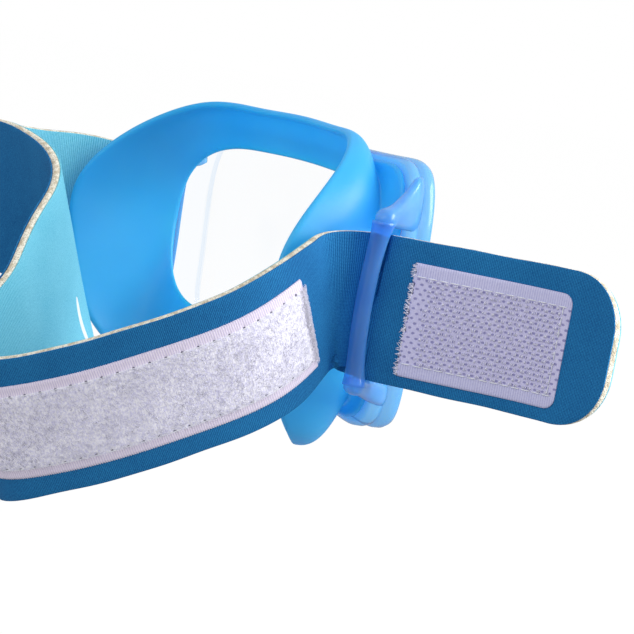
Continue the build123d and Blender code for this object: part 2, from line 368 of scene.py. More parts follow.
def knit_cloth(name, deep, lit, rib_contrast, rib_pitch):
    """Knitted nylon over foam: fine ribs across the strap, crossed by short loops."""
    n = Nodes(name)
    along, across = n.weave()
    wobble = n.times(n.noise(900.0), 0.25 * MM)
    ribs = n.wave(n.math("ADD", along, wobble), rib_pitch)
    loops = n.wave(n.scaled(ribs, 0.12 * MM, across), 0.38 * MM)
    pattern = n.scaled(loops, 0.45, n.times(ribs, 0.55))
    grain = n.noise(2600.0, 2.0)
    patches = n.noise(55.0, 2.0)
    shade = 0.5
    for part, contrast in ((pattern, rib_contrast), (grain, 0.9), (patches, 0.5)):
        shade = n.scaled(n.less(part, 0.5), contrast, shade)
    colour = n.mix(shade, deep, lit)
    height = n.scaled(grain, 0.7, pattern)
    return n.surface(
        Base_Color=colour,
        Roughness=0.85,
        Specular_IOR_Level=0.15,
        Sheen_Weight=0.05,
        Sheen_Roughness=0.3,
        Sheen_Tint=lit,
        Normal=n.bump(height, 0.12 * MM, 0.7),
    )


def cut_foam():
    """Cream foam at the cut edges, with open pores and brownish blotches."""
    n = Nodes("cut_foam")
    pores = n.add("TexVoronoi", Scale=2100.0, Vector=n.place()).outputs["Distance"]
    blotches = n.noise(520.0, 3.0)
    stain = n.steps(blotches, 0.42, 0.66)
    colour = n.mix(stain, (0.88, 0.84, 0.72), (0.60, 0.52, 0.38))
    colour = n.mix(n.steps(pores, 0.55, 0.08), colour, (0.42, 0.38, 0.30))
    return n.surface(
        Base_Color=colour,
        Roughness=0.85,
        Normal=n.bump(n.math("ADD", pores, blotches), 0.3 * MM, 0.8),
    )


def loop_pile():
    """Brushed loop tape: ribbed selvedges, needle holes and a soft pile."""
    n = Nodes("loop_pile")
    along, across = n.weave()
    off_centre = n.math("ABSOLUTE", across)
    selvedge = n.steps(off_centre, LOOP_FIELD - 0.15 * MM, LOOP_FIELD + 0.15 * MM)
    ribs = n.wave(along, LOOP_RIB)
    fluff = n.noise(1500.0, 4.0)
    clumps = n.noise(260.0, 3.0)
    pile = n.mix(n.steps(fluff, 0.32, 0.62), (0.70, 0.69, 0.90), (0.94, 0.93, 1.0))
    clumped = n.times(n.steps(clumps, 0.55, 0.75), 0.18)
    pile = n.mix(clumped, pile, (0.48, 0.46, 0.70))
    pile = n.mix(n.times(ribs, 0.16), pile, (0.60, 0.57, 0.80))
    worn = n.steps(along, MARK_WHITE + 34 * MM, MARK_WHITE)
    pile = n.mix(n.times(worn, 0.5), pile, (0.90, 0.90, 0.96))
    border = n.mix(ribs, (0.84, 0.78, 0.90), (0.62, 0.55, 0.76))
    colour = n.mix(selvedge, pile, border)
    beside = n.less(off_centre, LOOP_FIELD - NEEDLE_INSET)
    beside = n.math("DIVIDE", beside, 0.34 * MM)
    step = n.less(n.math("FRACT", n.math("DIVIDE", along, STITCH_PITCH)), 0.5)
    beyond = n.math("DIVIDE", n.times(step, STITCH_PITCH), 0.40 * MM)
    reach = n.squares(beside, beyond)
    colour = n.mix(n.steps(reach, 1.3, 0.5), colour, (0.10, 0.09, 0.16))
    height = n.scaled(ribs, 0.3, fluff)
    return n.surface(
        Base_Color=colour,
        Roughness=0.9,
        Sheen_Weight=0.5,
        Sheen_Roughness=0.5,
        Normal=n.bump(height, 0.2 * MM, 0.5),
    )


def hook_weave():
    """Ground of the hook tape: staggered dark gaps between the bunches, ribbed selvedges."""
    n = Nodes("hook_weave")
    along, across = n.weave()
    off_centre = n.math("ABSOLUTE", across)
    selvedge = n.steps(off_centre, HOOK_FIELD - 0.1 * MM, HOOK_FIELD + 0.1 * MM)
    row = n.math("DIVIDE", n.math("ADD", across, FAR_ROWS * HOOK_ROW), HOOK_ROW)
    stagger = n.times(n.math("MODULO", n.math("FLOOR", row), 2.0), 0.5)
    bunch = n.math("ADD", n.math("DIVIDE", along, HOOK_PITCH), stagger)
    beside = n.less(n.math("FRACT", row), 0.5)
    beside = n.times(beside, HOOK_ROW / (0.42 * MM))
    beyond = n.less(n.math("FRACT", bunch), 0.5)
    beyond = n.times(beyond, HOOK_PITCH / (0.62 * MM))
    reach = n.squares(beside, beyond)
    grain = n.noise(1800.0, 3.0)
    reach = n.math("ADD", reach, n.less(grain, 0.5))
    ribs = n.wave(along, HOOK_RIB)
    ground = n.mix(grain, (0.48, 0.46, 0.74), (0.70, 0.68, 0.90))
    ground = n.mix(n.steps(reach, 1.0, 0.2), ground, (0.26, 0.25, 0.50))
    ribbed = n.scaled(grain, 0.6, n.times(ribs, 0.5))
    border = n.mix(ribbed, (0.38, 0.37, 0.66), (0.66, 0.66, 0.88))
    height = n.scaled(ribs, 0.4, grain)
    return n.surface(
        Base_Color=n.mix(selvedge, ground, border),
        Roughness=0.6,
        Sheen_Weight=0.2,
        Normal=n.bump(height, 0.15 * MM, 0.7),
    )


def strand(name, deep, lit, roughness):
    """Thread or fibre, uneven in colour along its length."""
    n = Nodes(name)
    colour = n.mix(n.noise(3000.0, 2.0), deep, lit)
    return n.surface(
        Base_Color=colour,
        Roughness=roughness,
        Sheen_Weight=0.4,
        Normal=n.bump(n.noise(5000.0, 2.0), 0.05 * MM, 0.5),
    )


def silicone():
    """Translucent blue silicone with a satin skin."""
    n = Nodes("silicone")
    cloud = n.noise(38.0, 2.0)
    colour = n.mix(cloud, (0.03, 0.47, 0.86), (0.09, 0.60, 0.93))
    skin_normal = n.bump(n.noise(900.0, 3.0), 0.03 * MM, 0.4)
    principled = n.add(
        "BsdfPrincipled",
        Base_Color=colour,
        Roughness=n.scaled(n.noise(120.0, 3.0), 0.14, 0.30),
        Subsurface_Weight=0.45,
        Subsurface_Radius=(0.4, 0.9, 1.0),
        Subsurface_Scale=3.0 * MM,
        Normal=skin_normal,
    )
    through = n.add("BsdfTranslucent", Color=(0.10, 0.66, 1.0), Normal=skin_normal)
    return n.finish(n.mix_shaders(0.38, principled, through))


def clear_plastic(name, tint, deep, haze, milk, roughness, shine=0.8):
    """Tinted clear plastic: deeper at grazing angles, partly milky, with moulding flow marks.

    tint is its colour seen square on and deep at a grazing angle, haze that of its milky share.
    """
    n = Nodes(name)
    flow = n.noise(60.0, 2.0)
    normal = n.bump(n.math("ADD", flow, n.noise(420.0, 2.0)), 0.12 * MM, 0.35)
    facing = n.add("LayerWeight", Blend=0.45, Normal=normal).outputs["Facing"]
    through = n.add("BsdfTransparent", Color=n.mix(facing, tint, deep))
    milky = n.add(
        "BsdfPrincipled",
        Base_Color=n.mix(flow, haze, tint),
        Roughness=0.35,
        Subsurface_Weight=0.5,
        Subsurface_Radius=(0.5, 0.8, 1.0),
        Subsurface_Scale=3.0 * MM,
        Normal=normal,
    )
    body = n.mix_shaders(n.scaled(facing, milk * 0.9, milk), through, milky)
    glossy = n.add("BsdfGlossy", Roughness=roughness, Normal=normal)
    fresnel = n.add("Fresnel", IOR=1.45, Normal=normal).outputs[0]
    polished = n.mix_shaders(n.times(fresnel, shine), body, glossy)
    inside = n.add("BsdfTransparent", Color=(0.97, 0.985, 1.0))
    backfacing = n.add("NewGeometry").outputs["Backfacing"]
    return n.finish(n.mix_shaders(backfacing, polished, inside))


def clear_lens():
    """Thin clear sheet: seen through, with a faint sheen and slight smudges."""
    n = Nodes("clear_lens")
    smudge = n.steps(n.noise(45.0, 4.0), 0.50, 0.80)
    through = n.add("BsdfTransparent", Color=(0.995, 0.998, 1.0))
    glossy = n.add("BsdfGlossy", Roughness=n.scaled(smudge, 0.10, 0.03))
    amount = n.scaled(smudge, 0.015, 0.012)
    return n.finish(n.mix_shaders(amount, through, glossy))


def print_film():
    """White print, worn through to the cloth in specks."""
    n = Nodes("print_film")
    worn = n.steps(n.noise(700.0, 3.0), 0.55, 0.75)
    colour = n.mix(n.times(worn, 0.3), (0.90, 0.93, 0.96), (0.60, 0.80, 0.88))
    return n.surface(
        Base_Color=colour,
        Roughness=0.5,
        Normal=n.bump(n.noise(2400.0, 2.0), 0.05 * MM, 0.5),
    )


BLUE_CLOTH = knit_cloth(
    "blue_knit", (0.001, 0.06, 0.22), (0.024, 0.235, 0.52), rib_contrast=1.2, rib_pitch=0.46 * MM
)
PALE_CLOTH = knit_cloth(
    "pale_knit", (0.07, 0.40, 0.56), (0.27, 0.70, 0.84), rib_contrast=1.1, rib_pitch=0.60 * MM
)
CUT_FOAM = cut_foam()
LOOP_PILE = loop_pile()
LOOP_FIBRE = strand("loop_fibre", (0.74, 0.73, 0.92), (0.93, 0.92, 0.99), 0.7)
HOOK_WEAVE = hook_weave()
HOOK_FIBRE = strand("hook_fibre", (0.66, 0.65, 0.86), (0.92, 0.91, 0.99), 0.4)
THREAD = strand("sewing_thread", (0.70, 0.72, 0.80), (0.92, 0.93, 0.97), 0.55)
SILICONE = silicone()
FRAME_PLASTIC = clear_plastic(
    "frame_plastic", tint=(0.26, 0.62, 1.0), deep=(0.06, 0.36, 0.92), haze=(0.08, 0.42, 0.90),
    milk=0.36, roughness=0.12,
)
CLEAR_RIM = clear_plastic(
    "clear_rim", tint=(0.985, 0.99, 1.0), deep=(0.92, 0.96, 1.0), haze=(0.85, 0.90, 1.0),
    milk=0.0, roughness=0.08, shine=0.08,
)
BAR_PLASTIC = clear_plastic(
    "bar_plastic", tint=(0.18, 0.50, 1.0), deep=(0.06, 0.30, 0.88), haze=(0.03, 0.27, 0.88),
    milk=0.38, roughness=0.10,
)
LENS = clear_lens()
PRINT = print_film()


# ---------------- the strap's line
ARC_STEPS = {-1: 24, 1: 60}
TAB_STEPS = 90


def arc_rows(side, first, last, count):
    """Places round a bar; the angle is the heading of the strap as it runs from right to left."""
    headings = np.linspace(first, last, count)
    x = BAR[side][0] + WRAP_RADIUS * np.sin(headings)
    y = BAR[side][1] - WRAP_RADIUS * np.cos(headings)
    return np.stack([x, y, np.zeros(count)], axis=1)


def tab_line(start, side):
    """Places along a tab from its bar; the tip curls away from its heading."""
    run = np.linspace(0, TAB_LENGTH, TAB_STEPS)
    share = np.clip((run - CURL_START) / (TAB_LENGTH - CURL_START), 0, 1)
    heading = TAB_HEADING[side] - TAB_CURL[side] * share
    step = np.stack([np.cos(heading), np.sin(heading), 0 * heading], axis=1)
    middle = (step[1:] + step[:-1]) / 2 * (run[1] - run[0])
    return start + np.concatenate([np.zeros((1, 3)), np.cumsum(middle, axis=0)])


class Band:
    """A flat band: centre line, directions along, across and out of it, and half its width."""

    def __init__(self, centre, lean, half):
        self.centre = centre
        self.half = half
        self.run = lengths(centre)
        self.along = unit(np.gradient(centre, self.run, axis=0))
        self.across = unit(lean - (lean * self.along).sum(1, keepdims=True) * self.along)
        self.out = np.cross(self.across, self.along)

    def at(self, run, across, out):
        """Places at distances along, across and out of the band."""
        picked = [
            np.stack([np.interp(run, self.run, part[:, k]) for k in range(3)], axis=-1)
            for part in (self.centre, self.across, self.out)
        ]
        across = np.asarray(across)[..., None]
        out = np.asarray(out)[..., None]
        return picked[0] + across * picked[1] + out * picked[2]

    def width_at(self, run):
        return np.interp(run, self.run, self.half)


def strap_band():
    """The whole strap, from the right tab's tip to the left tab's, and distances along it."""
    loop = even_curve(np.array(STRAP_ROWS) * [MM, MM, MM, MM, 1, 1], 1.0 * MM)
    arcs = {
        -1: arc_rows(-1, TAB_HEADING[-1] - pi, pi / 2, ARC_STEPS[-1]),
        1: arc_rows(1, 1.5 * pi, TAB_HEADING[1] + 2 * pi, ARC_STEPS[1]),
    }
    lift = {-1: loop[0, 2] * UP, 1: loop[-1, 2] * UP}
    parts = [
        tab_line(arcs[-1][0], -1)[:0:-1],
        arcs[-1][:-1] + lift[-1] * np.linspace(0, 1, len(arcs[-1]) - 1)[:, None],
        loop[:, :3],
        arcs[1][1:] + lift[1] * np.linspace(1, 0, len(arcs[1]) - 1)[:, None],
        tab_line(arcs[1][-1], 1)[1:],
    ]
    ends = np.cumsum([len(part) for part in parts])
    centre = np.concatenate(parts)
    lean = np.zeros_like(centre)
    lean[:, 2] = 1
    half = np.full(len(centre), TAB_HALF_WIDTH)
    lean[ends[1]:ends[2], :2] = loop[:, 4:6]
    half[:ends[0]] *= 1 + TAB_FLARE * np.linspace(1, 0, ends[0])
    half[ends[0]:ends[1]] = np.linspace(TAB_HALF_WIDTH, loop[0, 3], ends[1] - ends[0])
    half[ends[1]:ends[2]] = loop[:, 3]
    half[ends[2]:ends[3]] = np.linspace(loop[-1, 3], TAB_HALF_WIDTH, ends[3] - ends[2])
    band = Band(centre, lean, half)
    marks = {
        "right_bar": band.run[ends[1]],
        "left_bar": band.run[ends[2] - 1],
        "left_front": band.run[ends[2] - 1] + WRAP_RADIUS * pi / 2,
        "left_tab": band.run[ends[3] - 1],
        "end": band.run[-1],
    }
    return band, marks


strap, MARK = strap_band()


def tab_outline(run):
    """Half width of the strap with the rounded corners of both tabs."""
    from_tip = np.minimum(run, MARK["end"] - run)
    inside = np.clip(TAB_CORNER - from_tip, 0, TAB_CORNER)
    return strap.width_at(run) - TAB_CORNER + np.sqrt(TAB_CORNER**2 - inside**2)


def stations(start, end):
    """Distances along the strap, a millimetre apart, but closer round the tips and the bars."""
    marks = np.linspace(start, end, ceil((end - start) / MM) + 1)
    rounding = TAB_CORNER * (1 - np.cos(np.linspace(0, pi / 2, 24)))
    extra = np.concatenate([
        rounding,
        MARK["end"] - rounding,
        np.linspace(MARK["right_bar"] - 4 * MM, MARK["right_bar"], 16),
        np.linspace(MARK["left_bar"], MARK["left_tab"] + 8 * MM, 60),
    ])
    marks = np.union1d(marks, extra[(extra > start + 0.1 * MM) & (extra < end - 0.1 * MM)])
    keep = np.concatenate([[True], np.diff(marks) > 0.05 * MM])
    keep[-1] = True
    return marks[keep]


def ply_ring(half, inner, outer, bulge):
    """Cross-section of one ply: places across and out, for each half width."""
    edge = np.minimum(0.28 * MM, (outer - inner) / 2)
    flat = np.linspace(1, -1, 25)
    under = np.linspace(-1, 1, 9)
    turn = np.array([45, 90, 135]) * pi / 180
    middle = (inner + outer) / 2
    rise = (outer - inner) / 2
    across = np.concatenate([
        (half - edge)[:, None] * flat,
        -(half - edge)[:, None] - (edge + bulge) * np.sin(turn),
        (half - edge)[:, None] * under,
        (half - edge)[:, None] + (edge + bulge) * np.sin(turn),
    ], axis=1)
    out = np.concatenate([
        np.full(flat.size, outer),
        middle + rise * np.cos(turn),
        np.full(under.size, inner),
        middle - rise * np.cos(turn),
    ])
    return across, np.broadcast_to(out, across.shape)


# Inner and outer face, bulge of the cut edges, material and slot of each ply.
PLIES = {
    "outer_cloth": (FOAM_HALF, FACE, 0.0, BLUE_CLOTH, "blue_cloth"),
    "core": (-FOAM_HALF - 0.02 * MM, FOAM_HALF + 0.02 * MM, 0.22 * MM, CUT_FOAM, "foam"),
    "inner_cloth": (-FACE, -FOAM_HALF, 0.0, PALE_CLOTH, "pale_cloth"),
}
PLY_TRIM = {"outer_cloth": 0.0, "core": 0.2, "inner_cloth": 0.35}  # of the edges, millimetres


def strap_ply(name, kind, start, end):
    """One ply of the strap between two distances, cut a little unevenly along its edges."""
    inner, outer, bulge, material, slot = PLIES[kind]
    run = stations(start, end)
    uneven = 0.10 * MM * (np.sin(run / (3.1 * MM)) + np.sin(run / (7.3 * MM) + 1.0))
    half = tab_outline(run) + uneven * 0.6 - PLY_TRIM[kind] * MM
    across, out = ply_ring(half, inner, outer, bulge)
    along = np.broadcast_to(run[:, None], across.shape)
    ripple = 0.07 * MM * np.sin(along / (5.7 * MM)) * np.sin(across / (6.1 * MM))
    rings = strap.at(along, across, out + ripple)
    piece = skin(f"{name}_{kind}", rings, material, np.stack([along, across], axis=-1))
    return piece


def hang(piece):
    """Bakes the transform of a piece that runs from the mask's hold at the bars to the free strap
    behind them.
    """
    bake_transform(piece)


def turn_right_tab(piece):
    """Bakes the transform of a piece of the open right tab, round the right bar."""
    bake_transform(piece)


def twist_left_wrap(piece):
    """Bakes the transform of a piece from the front of the left bar to its outer side, where the
    strap's tilt is taken up.
    """
    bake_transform(piece)


def turn_left_tab(piece):
    """Bakes the transform of the piece just behind the left bar, where the fastened tab leaves it.
    """
    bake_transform(piece)


for ply in PLIES:
    loop_part = strap_ply("strap", ply, MARK["right_bar"], MARK["left_front"])
    hang(loop_part)
    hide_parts(f"strap_{ply}")
    right_part = strap_ply("right_tab", ply, 0, MARK["right_bar"])
    turn_right_tab(right_part)
    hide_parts(f"right_tab_{ply}")
    wrap_part = strap_ply("left_wrap", ply, MARK["left_front"], MARK["left_tab"])
    twist_left_wrap(wrap_part)
    left_part = strap_ply("left_tab", ply, MARK["left_tab"], MARK["end"])
    turn_left_tab(left_part)
    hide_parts(f"left_tab_{ply}")
    if ply == "core":
        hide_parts("right_strap_neck", "left_strap_neck")


# ---------------- loop tapes
def tape_top(run, across, centre):
    """Height of the loop tape over the cloth: low ribbed selvedges beside a raised pile."""
    off = np.abs(across - centre)
    pile = 1 / (1 + np.exp((off - LOOP_FIELD) / (0.22 * MM)))
    ribs = 0.05 * MM * np.sin(2 * pi * run / LOOP_RIB)
    fluff = random.normal(0, 0.03 * MM, run.shape)
    low = 0.45 * MM + ribs
    high = LOOP_TAPE_HEIGHT + fluff + 0.07 * MM * np.sin(run / (4.0 * MM) + across / (3.0 * MM))
    beside = (off - LOOP_FIELD + NEEDLE_INSET) / (0.36 * MM)
    beyond = (np.mod(run / STITCH_PITCH, 1) - 0.5) * STITCH_PITCH / (0.45 * MM)
    hole = 0.6 * MM * np.exp(-(beside**2) - beyond**2)
    return low + (high - low) * pile - hole


def loop_tape(name, start, end, centre, fibres):
    """Loop tape between two distances along the strap, with its pile and both of its seams."""
    run = np.linspace(start, end, ceil((end - start) / (0.22 * MM)) + 1)
    places = np.linspace(1, -1, 51) * LOOP_HALF_WIDTH
    ragged = 0.18 * MM * np.sin(2 * pi * run / LOOP_RIB)
    at_edge = np.abs(places) > LOOP_HALF_WIDTH - 0.6 * MM
    across = centre + places + ragged[:, None] * at_edge
    along = np.broadcast_to(run[:, None], across.shape)
    top = FACE + tape_top(along, across, centre)
    top[:, [0, -1]] = FACE + 0.12 * MM
    under = np.tile(np.linspace(-1, 1, 5) * LOOP_HALF_WIDTH + centre, (len(run), 1))
    ring_across = np.concatenate([across, under], axis=1)
    ring_out = np.concatenate([top, np.full(under.shape, FACE - TUCK)], axis=1)
    ring_along = np.broadcast_to(run[:, None], ring_across.shape)
    weave = np.stack([ring_along, ring_across - centre], axis=-1)
    rings = strap.at(ring_along, ring_across, ring_out)
    tape = skin(f"{name}_loop_tape", rings, LOOP_PILE, weave)
    dress(tape, f"{name}_loop_tape")
    curls = pile_curls(start, end, centre, fibres)
    pile = threads(f"{name}_loop_pile", curls, 0.03 * MM, LOOP_FIBRE, 3)
    line = LOOP_FIELD - NEEDLE_INSET
    first = ceil(start / STITCH_PITCH + 0.5) * STITCH_PITCH + STITCH_PITCH / 2
    seams = [
        strap_stitch(place, centre + row, FACE + STITCH_HEIGHT, STITCH_PITCH)
        for row in (-line, line)
        for place in np.arange(first, end - STITCH_PITCH, STITCH_PITCH)
    ]
    seam = threads(f"{name}_loop_stitching", seams, 0.13 * MM, THREAD, 6)
    return tape, pile, dress(seam, f"{name}_loop_stitching")


def pile_curls(start, end, centre, count):
    """Curled fibres all over the pile, longer and looser at the cut ends."""
    curls = []
    for number in range(count):
        at_end = number % 9 == 0
        run = random.uniform(start + 0.3 * MM, end - 0.3 * MM)
        if at_end:
            run = start + abs(random.normal(0, 0.5 * MM))
        across = random.uniform(-LOOP_FIELD, LOOP_FIELD)
        angle = random.uniform(0, 2 * pi)
        size = random.uniform(0.25, 0.6) * MM * (1.3 if at_end else 1.0)
        lift = random.uniform(0.05, 0.32) * MM
        turn = np.linspace(0, random.uniform(2.2, 5.2), 6)
        runs = run + size * (np.cos(angle + turn) - cos(angle))
        acrosses = across + size * (np.sin(angle + turn) - sin(angle))
        runs = np.minimum(runs, end + 0.4 * MM)
        acrosses = np.clip(acrosses, -LOOP_HALF_WIDTH, LOOP_HALF_WIDTH)
        outs = FACE + LOOP_TAPE_HEIGHT + lift * np.sin(np.linspace(0.2, pi - 0.2, 6))
        beyond = np.clip((start - runs) / (1.2 * MM), 0, 1)
        outs = outs - beyond * 0.5 * MM
        curls.append(strap.at(runs, acrosses + centre, outs))
    return curls


def strap_stitch(run, across, out, pitch):
    """One stitch: out of one hole, over the tape and into the next."""
    turn = np.linspace(0, 1, 7)
    return strap.at(
        run + (turn - 0.5) * pitch * STITCH_SHARE,
        np.full(7, across),
        out + STITCH_RISE * np.sin(pi * turn) - 0.08 * MM,
    )


loop_tapes = (
    loop_tape(
        "right", start=MARK["right_bar"] + 22.5 * MM, end=MARK["right_bar"] + 120 * MM,
        centre=-0.9 * MM, fibres=9000,
    ),
    loop_tape(
        "left", start=MARK["left_bar"] - 40 * MM, end=MARK["left_bar"] - 6 * MM,
        centre=0.0, fibres=2200,
    ),
)
for pieces in loop_tapes:
    for piece in pieces:
        hang(piece)


# ---------------- hook tapes
def hook_ground(name, run_of):
    """Woven tape with a frayed cut end towards the bar and a rounded one at the tip."""
    rounding = np.sin(np.linspace(0, pi / 2, 10))
    tip = HOOK_TAPE_END - HOOK_CORNER + HOOK_CORNER * rounding
    cut = HOOK_TAPE_START + np.linspace(0, 1, 6) ** 2 * MM
    plain = np.linspace(HOOK_TAPE_START + 1.3 * MM, HOOK_TAPE_END - HOOK_CORNER, 130)
    distance = np.union1d(np.union1d(plain, tip), cut)
    inside = np.clip(HOOK_CORNER - (HOOK_TAPE_END - distance), 0, HOOK_CORNER)
    half = HOOK_HALF_WIDTH - HOOK_CORNER + np.sqrt(HOOK_CORNER**2 - inside**2)
    places = np.linspace(1, -1, 61)
    across = half[:, None] * places
    from_end = np.minimum(distance - HOOK_TAPE_START, HOOK_TAPE_END - distance)[:, None]
    rim = np.minimum(half[:, None] - np.abs(across), from_end)
    top = FACE + HOOK_GROUND_HEIGHT - 0.25 * MM * np.exp(-rim / (0.35 * MM))
    ribs = 0.04 * MM * np.sin(2 * pi * distance / HOOK_RIB)
    top += ribs[:, None] * (rim < HOOK_SELVEDGE)
    top[[0, -1], :] = FACE + 0.15 * MM
    frayed = random.uniform(-0.5, 0.5, places.size) * MM
    under = half[:, None] * np.linspace(-1, 1, 5)
    ring_across = np.concatenate([across, under], axis=1)
    ring_out = np.concatenate([top, np.full(under.shape, FACE - TUCK)], axis=1)
    near_cut = np.exp(-((distance - HOOK_TAPE_START) / (0.7 * MM)) ** 2)[:, None]
    ring_along = run_of(distance)[:, None] + near_cut * np.append(frayed, np.zeros(5))
    rings = strap.at(ring_along, ring_across + HOOK_CENTRE, ring_out)
    weave = np.stack([ring_along, ring_across], axis=-1)
    tape = skin(f"{name}_hook_tape", rings, HOOK_WEAVE, weave)
    return dress(tape, f"{name}_hook_tape")


def hook_bunches(name, run_of):
    """Bunches of bent hooks over the field, and loose threads at the cut end."""
    strands = []
    field = HOOK_FIELD - NEEDLE_INSET
    low, high = sorted((
        run_of(HOOK_TAPE_START + 0.8 * MM),
        run_of(HOOK_TAPE_END - 2.4 * MM),
    ))
    first = int(FAR_ROWS - field / HOOK_ROW)
    for row in range(first, 2 * FAR_ROWS - first):
        place = (row + 0.5 - FAR_ROWS) * HOOK_ROW
        for bunch in range(ceil(low / HOOK_PITCH), int(high / HOOK_PITCH)):
            for _ in range(HOOKS_IN_BUNCH):
                turn = np.linspace(-0.5, 3.9, 7)
                tilt = random.normal(0, 0.5)
                reach = random.uniform(0.40, 0.60) * MM
                swing = reach * (1 - np.cos(turn)) * 0.75 - 0.45 * MM
                run = (bunch - 0.5 * (row % 2)) * HOOK_PITCH + random.normal(0, 0.42 * MM)
                bend = 0.46 * MM * np.clip(np.sin(turn), -0.3, 1)
                strands.append(strap.at(
                    run + 0.5 * swing * sin(tilt),
                    np.clip(place + swing * cos(tilt), -field, field) + HOOK_CENTRE,
                    FACE + HOOK_GROUND_HEIGHT + bend,
                ))
    for _ in range(FRAYED_ENDS):
        start = random.uniform(-HOOK_HALF_WIDTH, HOOK_HALF_WIDTH)
        reach = np.linspace(0, random.uniform(0.4, 1.7), 5) * MM
        drift = random.normal(0, 0.5) * reach
        across = np.clip(start + drift, -HOOK_HALF_WIDTH, HOOK_HALF_WIDTH)
        strands.append(strap.at(
            run_of(HOOK_TAPE_START + 0.3 * MM - reach),
            across + HOOK_CENTRE,
            FACE + 0.40 * MM + random.uniform(-0.2, 0.25) * reach,
        ))
    return threads(f"{name}_hooks", strands, 0.09 * MM, HOOK_FIBRE, 4)


def hook_seams(name, run_of):
    """A seam along each selvedge and one across the rounded end."""
    pitch = HOOK_STITCH_PITCH
    spots = np.arange(HOOK_TAPE_START + 2 * MM, HOOK_TAPE_END - 2 * MM, pitch)
    seams = [
        strap_stitch(run_of(place), row + HOOK_CENTRE, FACE + STITCH_HEIGHT, pitch)
        for row in (HOOK_FIELD, -HOOK_FIELD)
        for place in spots
    ]
    reach = STITCH_SHARE / 2
    seams += [
        strap.at(
            np.full(7, run_of(HOOK_TAPE_END - 2.2 * MM)),
            HOOK_CENTRE + place + np.linspace(-reach, reach, 7) * pitch,
            FACE + 0.64 * MM + STITCH_RISE * np.sin(np.linspace(0, pi, 7)),
        )
        for place in np.arange(-HOOK_FIELD + pitch / 2, HOOK_FIELD, pitch)
    ]
    seam = threads(f"{name}_hook_stitching", seams, 0.14 * MM, THREAD, 6)
    return dress(seam, f"{name}_hook_stitching")


def hook_tape(side):
    """Hook tape on the outer cloth of a tab, placed by distances along the tab from its bar."""
    name = SIDE_NAME[side]
    foot = MARK["right_bar"] if side < 0 else MARK["left_tab"]

    def run_of(distance):
        return foot + side * distance

    for piece in (hook_ground(name, run_of), hook_bunches(name, run_of), hook_seams(name, run_of)):
        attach(piece, f"{name}_tab")


for side in SIDE_NAME:
    hook_tape(side)


# ---------------- printed stripe
def printed_stripe():
    """A plain bowed stripe printed across the lower half of the inner face."""
    low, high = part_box("printed_stripe")
    goal = np.array((low + high) / 2)
    rise = -11.5 * MM  # of the stripe's middle from the band's
    gap = np.linalg.norm(strap.at(strap.run, np.full(strap.run.shape, rise), 0.0) - goal, axis=1)
    middle = strap.run[np.argmin(gap)]
    places = rise + np.linspace(8.5 * MM, -8.5 * MM, 40)
    bow = 1.6 * MM * np.sin(np.linspace(0, pi, 40))
    width = 1.2 * MM * np.sqrt(np.clip(1 - np.linspace(-1, 1, 40) ** 4, 0.02, 1))
    corners = np.array([(-1, 0), (-0.9, 1), (0, 1.15), (0.9, 1), (1, 0), (0, -0.5)])
    run = (middle - bow)[:, None] + width[:, None] * corners[:, 0]
    across = np.broadcast_to(places[:, None], run.shape)
    out = np.broadcast_to(-FACE - 0.02 * MM - 0.10 * MM * corners[:, 1], run.shape)
    piece = skin("printed_stripe", strap.at(run, across, out), PRINT)
    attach(dress(piece, "printed_stripe"), "strap")


printed_stripe()


# ---------------- front frame
BOW_RADIUS = 440 * MM  # plan curvature of the front and rear faces
TILT = 0.025  # the front face leans back a little towards the brow
FRONT_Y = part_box("front_frame")[0].y
FRAME_DEPTH = 9.2 * MM
AROUND = 420  # points round an outline

# Section of the ring: inset from the outline and depth behind the front, in millimetres.
RING_SECTION = [
    (0.0, 1.6), (0.5, 0.5), (1.7, 0.0), (4.6, 0.0), (5.9, 0.25), (6.0, 2.1), (8.2, 2.2),
    (8.4, 2.8), (8.2, 3.6), (6.4, 4.4), (4.6, 8.2), (3.8, 9.1), (2.2, 9.2), (0.8, 8.9),
    (0.1, 8.2), (0.0, 6.6), (0.25, 5.6), (0.9, 5.1), (0.9, 4.4), (0.25, 3.9), (0.0, 3.0),
]
LENS_SEAT = range(4, 11)  # sides of the section round the lens, left clear

# Rows along the left arms: x, y, z, half height and half thickness, in millimetres.
UPPER_ARM = [
    (70.4, 0.0, 28.8, 6.8, 1.2),
    (72.6, 1.8, 28.0, 7.6, 1.9),
    (75.5, 4.8, 26.8, 6.4, 2.1),
    (79.8, 10.2, 25.2, 4.2, 2.2),
    (83.2, 15.2, 24.0, 2.8, 2.6),
    (84.3, 18.6, 23.3, 1.6, 2.2),
    (84.4, 19.6, 23.2, 0.5, 0.8),
]
LOWER_ARM = [
    (71.2, 0.2, -25.0, 3.0, 1.2),
    (74.5, 3.2, -24.2, 3.2, 1.9),
    (79.5, 10.0, -22.8, 2.7, 2.1),
    (83.2, 15.6, -21.6, 2.3, 2.6),
    (84.3, 18.8, -21.2, 1.6, 2.2),
    (84.4, 19.8, -21.2, 0.5, 0.8),
]


